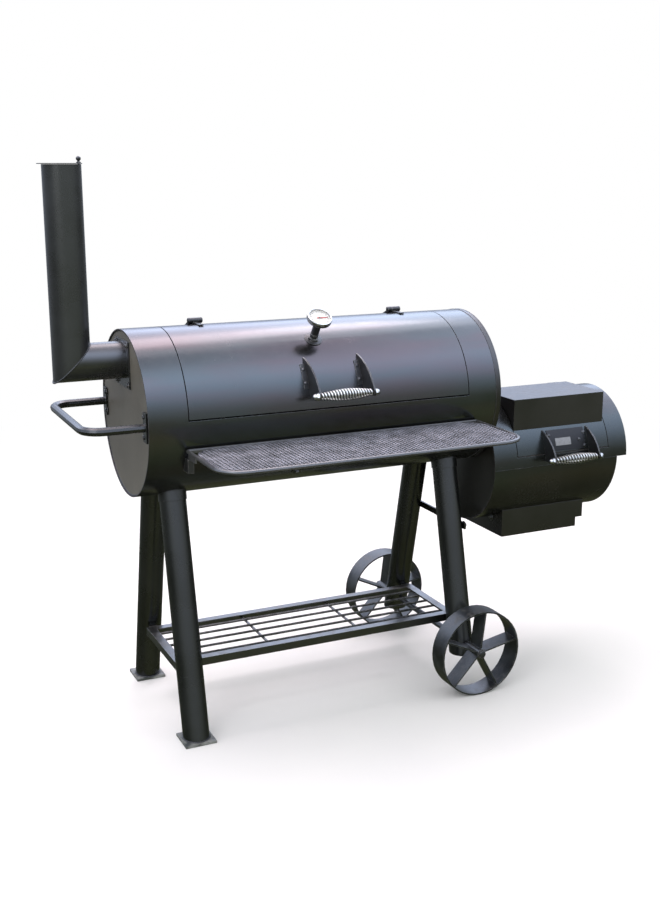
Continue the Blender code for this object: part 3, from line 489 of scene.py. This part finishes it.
def bolt(bm, place, normal, across, height, washer=True, dome=False):
    """A hexagon head or a round dome head, on a washer unless washer is off."""
    at = facing(place, normal)
    base = 0.0
    if washer:
        lathe(bm, [(0, 0), (across * 0.98, 0), (across * 1.02, 0.0004), (across * 0.98, 0.0010),
                   (0, 0.0010)], at, 24)
        base = 0.0008
    if dome:
        profile = [(across * 0.78, base), (across * 0.78, base + height * 0.25)]
        for i in range(1, 6):
            turn = i / 5 * math.pi / 2
            profile.append((across * 0.78 * math.cos(turn) if i < 5 else 0.0,
                            base + height * (0.25 + 0.75 * math.sin(turn))))
        lathe(bm, [(0, base)] + profile, at, 20)
        return
    corner = across / math.sqrt(3) * 1.12
    lathe(bm, [(0, base), (corner, base), (corner, base + height * 0.78), (corner * 0.82, base + height),
               (0, base + height)], at, 6)


def acorn_nut(bm, place, normal, across, length):
    """A domed nut on a washer."""
    at = facing(place, normal)
    corner = across / math.sqrt(3)
    lathe(bm, [(0, 0), (across * 0.62, 0), (across * 0.62, 0.0008), (0, 0.0008)], at, 24)
    lathe(bm, [(0, 0.0006), (corner, 0.0006), (corner, length * 0.42), (corner * 0.84, length * 0.48),
               (0, length * 0.48)], at, 6)
    dome = [(across * 0.44, length * 0.44)]
    for i in range(1, 7):
        turn = i / 6 * math.pi / 2
        dome.append((across * 0.44 * math.cos(turn) if i < 6 else 0.0,
                     length * (0.50 + 0.50 * math.sin(turn))))
    lathe(bm, [(0, length * 0.44)] + dome, at, 20)


def curved_strip(name, spot, x_range, angles, low, high, body, look):
    """A thin plate rolled to the shell it lies on, from low to high above it: spot is on_barrel or
    on_firebox."""
    bm = bmesh.new()
    steps = max(3, round(abs(angles[1] - angles[0]) / 2))
    grid = {}
    for i in range(steps + 1):
        angle = angles[0] + (angles[1] - angles[0]) * i / steps
        for j, x in enumerate(x_range):
            for k, lift in enumerate((low, high)):
                grid[i, j, k] = bm.verts.new(spot(x, angle, lift))
    for i in range(steps):
        for k in range(2):
            bm.faces.new([grid[i, 0, k], grid[i, 1, k], grid[i + 1, 1, k], grid[i + 1, 0, k]])
        for j in range(2):
            bm.faces.new([grid[i, j, 0], grid[i, j, 1], grid[i + 1, j, 1], grid[i + 1, j, 0]])
    for i in (0, steps):
        bm.faces.new([grid[i, 0, 0], grid[i, 1, 0], grid[i, 1, 1], grid[i, 0, 1]])
    mesh_piece(name, bm, body, look)


# ---- spring handles ----
def spring_handle(prefix, body, turns):
    """A barrel-shaped spring as the grip, its stud and the two domed nuts outside the brackets."""
    rod = middle(f"{prefix}_handle_rod")
    rod_low, rod_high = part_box(f"{prefix}_handle_rod")
    left_low, left_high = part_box(f"{prefix}_bracket_left")
    right_low, right_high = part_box(f"{prefix}_bracket_right")
    points_per_turn = 20
    wire_radius = 0.0016
    end_radius, bulge = 0.0074, 0.0060
    start = left_high.x + wire_radius + 0.0003
    end = right_low.x - wire_radius - 0.0003
    points = []
    for i in range(turns * points_per_turn + 1):
        t = i / (turns * points_per_turn)
        radius = end_radius + bulge * math.sin(math.pi * t) ** 1.3
        turn = 2 * math.pi * turns * t
        points.append((start + (end - start) * t, rod.y + radius * math.cos(turn),
                       rod.z + radius * math.sin(turn)))
    spring = wires(f"{prefix}_coil_spring", [points], wire_radius, body, "spring",
                   resolution=3)
    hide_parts(f"{prefix}_handle_spring")
    bm = bmesh.new()
    for x, side in ((left_low.x, -1), (right_high.x, 1)):
        acorn_nut(bm, Vector((x, rod.y, rod.z)), (side, 0, 0), 0.0165, 0.0150)
    nuts = mesh_piece(f"{prefix}_handle_nuts", bm, body, "chrome")
    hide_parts(f"{prefix}_handle_rod")
    bm = bmesh.new()
    start, end = rod_low.x + 0.010, rod_high.x - 0.010
    lathe(bm, [(0, start), (0.0040, start), (0.0040, end), (0, end)],
          facing(Vector((0, rod.y, rod.z)), (1, 0, 0)), 20)
    mesh_piece(f"{prefix}_handle_stud", bm, body, "iron")


spring_handle("lid", "lid", 18)
spring_handle("door", "firebox_door", 15)


# ---- front table: expanded metal inside the rod frame ----
def expanded_metal():
    low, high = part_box("front_table_mesh")
    level = (low.z + high.z) / 2
    corner = 0.0567  # the radius of the panel's corners
    pitch_x, pitch_y = 0.0195, 0.0107  # one diamond
    wire_radius, inset, slant = 0.00105, 0.0005, 0.0005
    bond = 0.16  # half the length of a bond between two diamonds, in half pitches
    reach_x = (high.x - low.x) / 2 - inset
    centre_x = (low.x + high.x) / 2
    rows = round((high.y - low.y - 2 * inset) / pitch_y)
    step_y = (high.y - low.y - 2 * inset) / rows
    columns = int(reach_x / (pitch_x / 2)) + 1
    lines = []
    # each row holds two opposite zigzags, which meet each other and the next rows' at the bonds
    for row in range(rows):
        row_y = low.y + inset + row * step_y
        for flip in (0, 1):
            points = []
            for i in range(-columns, columns + 1):
                top = (i + row + flip) % 2
                for shift in (-bond, bond):
                    x = (i + shift) * pitch_x / 2
                    y = row_y + (step_y if top else 0.0)
                    edge_y = min(y - low.y, high.y - y)
                    limit = reach_x
                    if edge_y < corner:
                        drop = corner - max(edge_y, 0.0)
                        limit = reach_x - corner + math.sqrt(max(corner**2 - drop**2, 0.0))
                    x = max(-limit, min(limit, x))
                    lift = slant if top else -slant
                    points.append((centre_x + x, y, level + lift))
            kept = [p for a, p in enumerate(points) if a == 0 or p[0] - points[a - 1][0] > 1e-5]
            lines.append(kept)
    panel = wires("table_expanded_metal", lines, wire_radius, "root", "mesh", resolution=0)
    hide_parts("front_table_mesh")


expanded_metal()


# ---- thermometer dial ----
def dial_ticks(face, normal):
    """41 ticks over three quarters of a turn, every fifth one long."""
    bm = bmesh.new()
    side = Vector((1, 0, 0))
    up = normal.cross(side)
    for i in range(41):
        turn = math.radians(225 - i * 270 / 40)
        out = side * math.cos(turn) + up * math.sin(turn)
        along = side * -math.sin(turn) + up * math.cos(turn)
        long = i % 5 == 0
        inner, outer = (0.0190, 0.0240) if long else (0.0215, 0.0240)
        half = 0.00045 if long else 0.00022
        corners = [face + out * r + along * a + normal * 0.0002
                   for r, a in ((inner, -half), (outer, -half), (outer, half), (inner, half))]
        bm.faces.new([bm.verts.new(c) for c in corners])
    mesh_piece("dial_ticks", bm, "lid", "print_and_shade", smooth=False)


def dial():
    centre = middle("thermometer_glass")
    normal = outward(DIAL_ANGLE)
    face = centre - normal * 0.0033  # the dial lies behind the glass
    at = facing(face, normal)
    bm = bmesh.new()
    lathe(bm, [(0, -0.0004), (0.0268, -0.0004), (0.0268, 0.0), (0, 0.0)], at, 48)
    mesh_piece("dial_face", bm, "lid", "dial")
    dial_ticks(face, normal)
    bm = bmesh.new()
    lathe(bm, [(0.0262, 0.0034), (0.0268, 0.0052), (0.0285, 0.0060), (0.0302, 0.0052), (0.0309, 0.0030),
               (0.0309, -0.0045), (0.0300, -0.0062), (0.0268, -0.0062), (0.0262, 0.0034)], at, 56)
    mesh_piece("dial_rim", bm, "lid", "chrome")
    bm = bmesh.new()
    lathe(bm, [(0, 0.0008), (0.0022, 0.0008), (0.0022, 0.0022), (0.0015, 0.0028), (0, 0.0028)], at, 20)
    mesh_piece("dial_boss", bm, "lid", "print_and_shade")
    stem_foot = on_barrel(centre.x, DIAL_ANGLE)
    bm = bmesh.new()
    bolt(bm, stem_foot + normal * 0.0002, normal, 0.022, 0.006)
    lathe(bm, [(0.0098, 0.006), (0.0098, 0.012), (0.0105, 0.0125), (0.0105, 0.017), (0.0098, 0.0175),
               (0.0098, 0.055), (0.0, 0.055)], facing(stem_foot, normal), 28)
    mesh_piece("dial_stem_sleeve", bm, "lid", "bracket")


dial()


# ---- welds and seams ----
def around_barrel(x, radius, steps=96):
    """Points of a ring about the barrel's axis."""
    turns = [2 * math.pi * i / steps for i in range(steps)]
    return [(x, BARREL.y + radius * math.cos(turn), BARREL.z + radius * math.sin(turn)) for turn in turns]


def chimney_mitre(steps=64):
    """Points round the 45 degree cut where the stack meets the elbow."""
    radius = STACK_RADIUS + 0.0002
    level = middle("chimney_elbow").z + 0.008
    turns = [2 * math.pi * i / steps for i in range(steps)]
    return [
        (STACK.x + radius * math.cos(turn), STACK.y + radius * math.sin(turn),
         level + radius * math.cos(turn))
        for turn in turns
    ]


def around_leg(foot, axis, radius, steps):
    """Points of a ring about a leg's axis, square to it at its foot."""
    across = Vector((1, 0, 0))
    third = axis.cross(across)
    turns = [2 * math.pi * i / steps for i in range(steps)]
    return [foot + (across * math.cos(turn) + third * math.sin(turn)) * radius for turn in turns]


def up_to_barrel(start, axis):
    """Where a line along a leg meets the barrel."""
    offset = Vector((0, start.y - BARREL.y, start.z - BARREL.z))
    a = axis.y**2 + axis.z**2
    b = 2 * (offset.y * axis.y + offset.z * axis.z)
    c = offset.y**2 + offset.z**2 - (BARREL_RADIUS + 0.0003) ** 2
    distance = (-b - math.sqrt(max(b * b - 4 * a * c, 0.0))) / (2 * a)
    return start + axis * distance


def leg_welds():
    """A saddle-shaped bead under the barrel on each leg, and one on each foot plate."""
    leg_x, foot_y, top_y, top_z = 0.379, 0.2086, 0.0768, 0.575
    leg_radius = 0.0330
    plate_top = 0.0068
    for name in ("front_left", "front_right", "rear_left", "rear_right"):
        side = -1 if "front" in name else 1
        x = BARREL_MIDDLE_X + (-leg_x if "left" in name else leg_x)
        foot = Vector((x, BARREL.y + side * foot_y, 0.0))
        top = Vector((x, BARREL.y + side * top_y, top_z))
        axis = (top - foot).normalized()
        saddle = [up_to_barrel(p, axis) for p in around_leg(foot, axis, leg_radius, 48)]
        weld(f"leg_saddle_weld_{name}", saddle, radius=0.0019)
        if "left" in name:
            base = [p + axis * ((plate_top - p.z) / axis.z) for p in around_leg(foot, axis, leg_radius, 40)]
            weld(f"leg_foot_weld_{name}", base, radius=0.0017)


weld("barrel_end_weld", around_barrel(BARREL_LEFT + 0.0034, BARREL_RADIUS - 0.0044), radius=0.0014)
weld("chimney_mitre_weld", chimney_mitre(), radius=0.0016)
leg_welds()
# the seam where the right end cap laps over the shell, drawn as a black wire that paints the shade in the
# lap's groove, and its folded rim
wires("end_cap_seam_shade", [around_barrel(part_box("barrel_end_right")[0].x, BARREL_RADIUS + 0.0001)], 0.0011,
      "root", "print_and_shade", cyclic=True, resolution=1)
wires("end_cap_rim", [around_barrel(BARREL_RIGHT - 0.0006, BARREL_RADIUS - 0.0004)], 0.0013,
      "root", "chimney", cyclic=True)


# ---- fasteners ----
def fasteners(name, heads, body, look="zinc", dome=False):
    """Bolt heads, each given as its place, its direction, its width across and its height."""
    bm = bmesh.new()
    for place, normal, across, height in heads:
        bolt(bm, Vector(place), normal, across, height, dome=dome)
    mesh_piece(name, bm, body, look)


def axle_nut(name, y, side):
    """A thick washer and a hexagon nut with a closed end."""
    bm = bmesh.new()
    at = facing(Vector((AXLE.x, y + side * 0.0003, AXLE.z)), (0, side, 0))
    lathe(bm, [(0.0088, 0), (0.0118, 0), (0.0121, 0.0005), (0.0118, 0.0014), (0.0088, 0.0014)], at, 36)
    lathe(bm, [(0.0086, 0.0014), (0.0106, 0.0014), (0.0106, 0.0056), (0.0090, 0.0066), (0.0, 0.0066)],
          at, 6)
    mesh_piece(f"axle_nut_{name}", bm, "root", "bracket")


def hinge_pins(prefix, across, knuckle):
    """A round head on both ends of each hinge's pin, which runs through the leaf's rolled end."""
    bm = bmesh.new()
    for side_name in ("left", "right"):
        low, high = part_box(f"{prefix}_{side_name}_base")
        leaf_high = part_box(f"{prefix}_{side_name}_leaf")[1]
        for x, side in ((low.x, -1), (high.x, 1)):
            place = Vector((x, leaf_high.y - knuckle, leaf_high.z - knuckle))
            bolt(bm, place, (side, 0, 0), across, 0.0025, washer=False, dome=True)
    mesh_piece(f"{prefix}_pins", bm, "root", "bracket")


axle_nut("front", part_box("wheel_front")[0].y, -1)
axle_nut("rear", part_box("wheel_rear")[1].y, 1)

fasteners("door_bracket_bolts", [
    (on_firebox(BARREL_MIDDLE_X + x, angle, 0.0020), outward(angle), across, height)
    for x, angle, across, height in (
        (0.770, 26, 0.0056, 0.0026), (0.768, 14, 0.0056, 0.0026), (0.752, 20, 0.0048, 0.0022),
        (0.656, 26, 0.0056, 0.0026), (0.656, 14, 0.0056, 0.0026),
    )
], "firebox_door", look="rivet", dome=True)

for name in ("left", "right"):
    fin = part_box(f"lid_bracket_{name}")[0].x
    curved_strip(f"lid_bracket_flange_{name}", on_barrel, (fin - 0.0130, fin - 0.0003), (17.5, 35.0),
                 0.0003, 0.0018, "lid", "bracket")
    fasteners(f"lid_bracket_bolts_{name}", [
        (on_barrel(fin - 0.0072, angle, 0.0019), outward(angle), 0.0050, 0.0022) for angle in (21.5, 31)
    ], "lid", look="rivet", dome=True)

fasteners("drain_bolt", [(on_barrel(BARREL_MIDDLE_X - 0.077, -50, 0.0003), outward(-50), 0.012, 0.006)],
          "root")

ash_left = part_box("ash_housing")[0].x - 0.0002
fasteners("ash_box_bolts", [
    ((ash_left, BARREL.y - 0.055, 0.403), (-1, 0, 0), 0.010, 0.005),
    ((ash_left, BARREL.y + 0.090, 0.397), (-1, 0, 0), 0.010, 0.005),
], "root")

brace_low, brace_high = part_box("leg_brace")
fasteners("brace_bolts", [
    ((brace_high.x + 0.0002, y, (brace_low.z + brace_high.z) / 2), (1, 0, 0), 0.011, 0.005)
    for y in (brace_low.y + 0.012, brace_high.y - 0.012)
], "root")

flange_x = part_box("barrel_end_left")[0].x - 0.0038  # the outer face of the chimney's flange
fasteners("chimney_flange_bolts", [
    ((flange_x, BARREL.y + y, middle("chimney_elbow").z + z), (-1, 0, 0), 0.008, 0.004)
    for y in (-0.047, 0.047) for z in (-0.047, 0.047)
], "root", "bracket")

grip_low, grip_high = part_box("end_handle")
fasteners("grip_plate_bolts", [
    ((flange_x + 0.0008, y, (grip_low.z + grip_high.z) / 2 + z), (-1, 0, 0), 0.009, 0.004)
    for y in (grip_low.y + 0.0215, grip_high.y - 0.0215) for z in (-0.024, 0.024)
], "root", "bracket")

hinge_pins("lid_hinge", 0.0085, 0.007)
hinge_pins("door_hinge", 0.0060, 0.005)

# the name plate's blank strip
curved_strip("label_strip", on_firebox, (BARREL_MIDDLE_X + 0.674, BARREL_MIDDLE_X + 0.724), (16.2, 23.0),
             0.0019, 0.0024, "firebox_door", "label")

# a strip welded inside the opening, which the door's lower edge shuts against
door_low, door_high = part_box("firebox_door")
curved_strip("door_stop_strip", on_firebox, (door_low.x - 0.004, door_high.x + 0.004), (6.5, 13.0),
             -0.0054, -0.0034, "root", "iron")


# ---- stage, light and camera ----
def stage():
    """A white floor that glows further out, so that it runs into the white behind it."""
    bm = bmesh.new()
    bmesh.ops.create_circle(bm, cap_ends=True, radius=14.0, segments=96)
    mesh = bpy.data.meshes.new("floor")
    bm.to_mesh(mesh)
    bm.free()
    floor = bpy.data.objects.new("floor", mesh)
    floor.location.z = -FLOOR_DROP
    bpy.context.scene.collection.objects.link(floor)
    s = Shader("floor_white")
    tone = s.noise(2.0, 3.0, 0.5)
    s.set(Base_Color=s.blend(s.ramp(tone, 0.3, 0.7), (0.86, 0.86, 0.87), (0.89, 0.89, 0.89)),
          Roughness=0.9, Specular_IOR_Level=0.1)
    away = s.node("VectorMath", {0: s.place}, operation="LENGTH").outputs["Value"]
    glow = s.node("Emission", {"Color": (1.0, 1.0, 1.0, 1.0), "Strength": 1.0})
    both = s.node("MixShader", {0: s.ramp(away, 1.0, 3.6), 1: s.surface.outputs[0], 2: glow.outputs[0]})
    s.tree.links.new(both.outputs[0], s.tree.nodes["Material Output"].inputs["Surface"])
    floor.data.materials.append(s.material)
    floor.visible_glossy = False


def softbox(name, place, aim, width, height, power, colour, turn=0):
    light = bpy.data.lights.new(name, "AREA")
    light.shape = "RECTANGLE"
    light.size, light.size_y = width, height
    light.energy = power
    light.color = colour
    holder = bpy.data.objects.new(name, light)
    holder.location = place
    holder.visible_camera = False
    aimed = (Vector(aim) - Vector(place)).to_track_quat("-Z", "Y")
    holder.rotation_euler = (Matrix.Rotation(math.radians(turn), 3, "Z") @ aimed.to_matrix()).to_euler()
    bpy.context.scene.collection.objects.link(holder)


def sky():
    """Plain white for all but reflections, which see an overcast sky over grass and dark trees."""
    world = bpy.data.worlds.new("studio")
    bpy.context.scene.world = world
    world.use_nodes = True
    s = Nodes(world.node_tree)
    background = s.tree.nodes["Background"]
    way = s.node("SeparateXYZ", {0: s.node("TexCoord").outputs["Generated"]}).outputs
    # what is behind the object counts as higher up, so that its back reflects more light
    behind = s.math("MAXIMUM", way["Y"], 0.0)
    raised = s.math("MULTIPLY_ADD", behind, 0.30, way["Z"])
    height = s.node("MapRange", {0: raised, 1: -1.0}).outputs[0]
    ramp = s.node("ValToRGB", {0: height})
    # from straight down to straight up
    stops = [
        (0.00, (0.060, 0.066, 0.030)), (0.15, (0.078, 0.086, 0.042)), (0.26, (0.100, 0.107, 0.052)),
        (0.37, (0.072, 0.082, 0.053)), (0.45, (0.090, 0.102, 0.072)), (0.52, (0.190, 0.205, 0.205)),
        (0.61, (0.300, 0.335, 0.390)), (0.76, (0.640, 0.730, 0.960)), (0.86, (0.880, 1.000, 1.30)),
        (0.93, (0.760, 0.810, 1.02)), (0.965, (0.520, 0.520, 0.640)), (1.00, (0.300, 0.300, 0.370)),
    ]
    elements = ramp.color_ramp.elements
    elements[0].position, elements[1].position = stops[0][0], stops[-1][0]
    elements[0].color, elements[1].color = (*stops[0][1], 1), (*stops[-1][1], 1)
    for position, colour in stops[1:-1]:
        elements.new(position).color = (*colour, 1)
    # low down, trees stand darker to the sides and behind than in front
    above = s.math("MAXIMUM", way["Z"], 0.0)
    frontward = s.math("MULTIPLY", way["Y"], -1.0)
    ahead = s.math("MULTIPLY_ADD", above, 5.0, frontward)
    s.put(background.inputs["Strength"], s.ramp(ahead, 0.05, 0.95, 0.30 * SKY_STRENGTH, SKY_STRENGTH))
    s.put(background.inputs["Color"], ramp.outputs[0])
    plain = s.node("Background", {"Color": (1, 1, 1, 1), "Strength": 1.0})
    mirrored = s.node("LightPath").outputs["Is Glossy Ray"]
    both = s.node("MixShader", {0: mirrored, 1: plain.outputs[0], 2: background.outputs[0]})
    s.put(s.tree.nodes["World Output"].inputs["Surface"], both.outputs[0])


stage()
sky()
softbox("overhead", (-0.2, 0.95, 3.2), aim=(0, 0.1, 0.7), width=4.4, height=0.80, power=46,
        colour=(1.0, 0.84, 0.89), turn=14)
softbox("overhead_soft", (-0.2, 0.80, 3.4), aim=(0, 0.1, 0.7), width=4.8, height=1.90, power=46,
        colour=(1.0, 0.92, 0.97), turn=14)
softbox("front_left", (-3.0, -2.2, 2.6), aim=(0, 0, 0.6), width=2.0, height=2.0, power=30,
        colour=(0.97, 0.98, 1.0))

# the photograph's viewing angle
camera = bpy.data.objects.new("camera", bpy.data.cameras.new("camera"))
camera.location = (-1.3221, -2.6357, 1.3599)
camera.rotation_euler = (math.radians(76.3097), 0, math.radians(-25.0311))
camera.data.sensor_width = 36
camera.data.lens = 46.94
bpy.context.scene.collection.objects.link(camera)
bpy.context.scene.camera = camera
bpy.context.scene.view_settings.view_transform = "Standard"
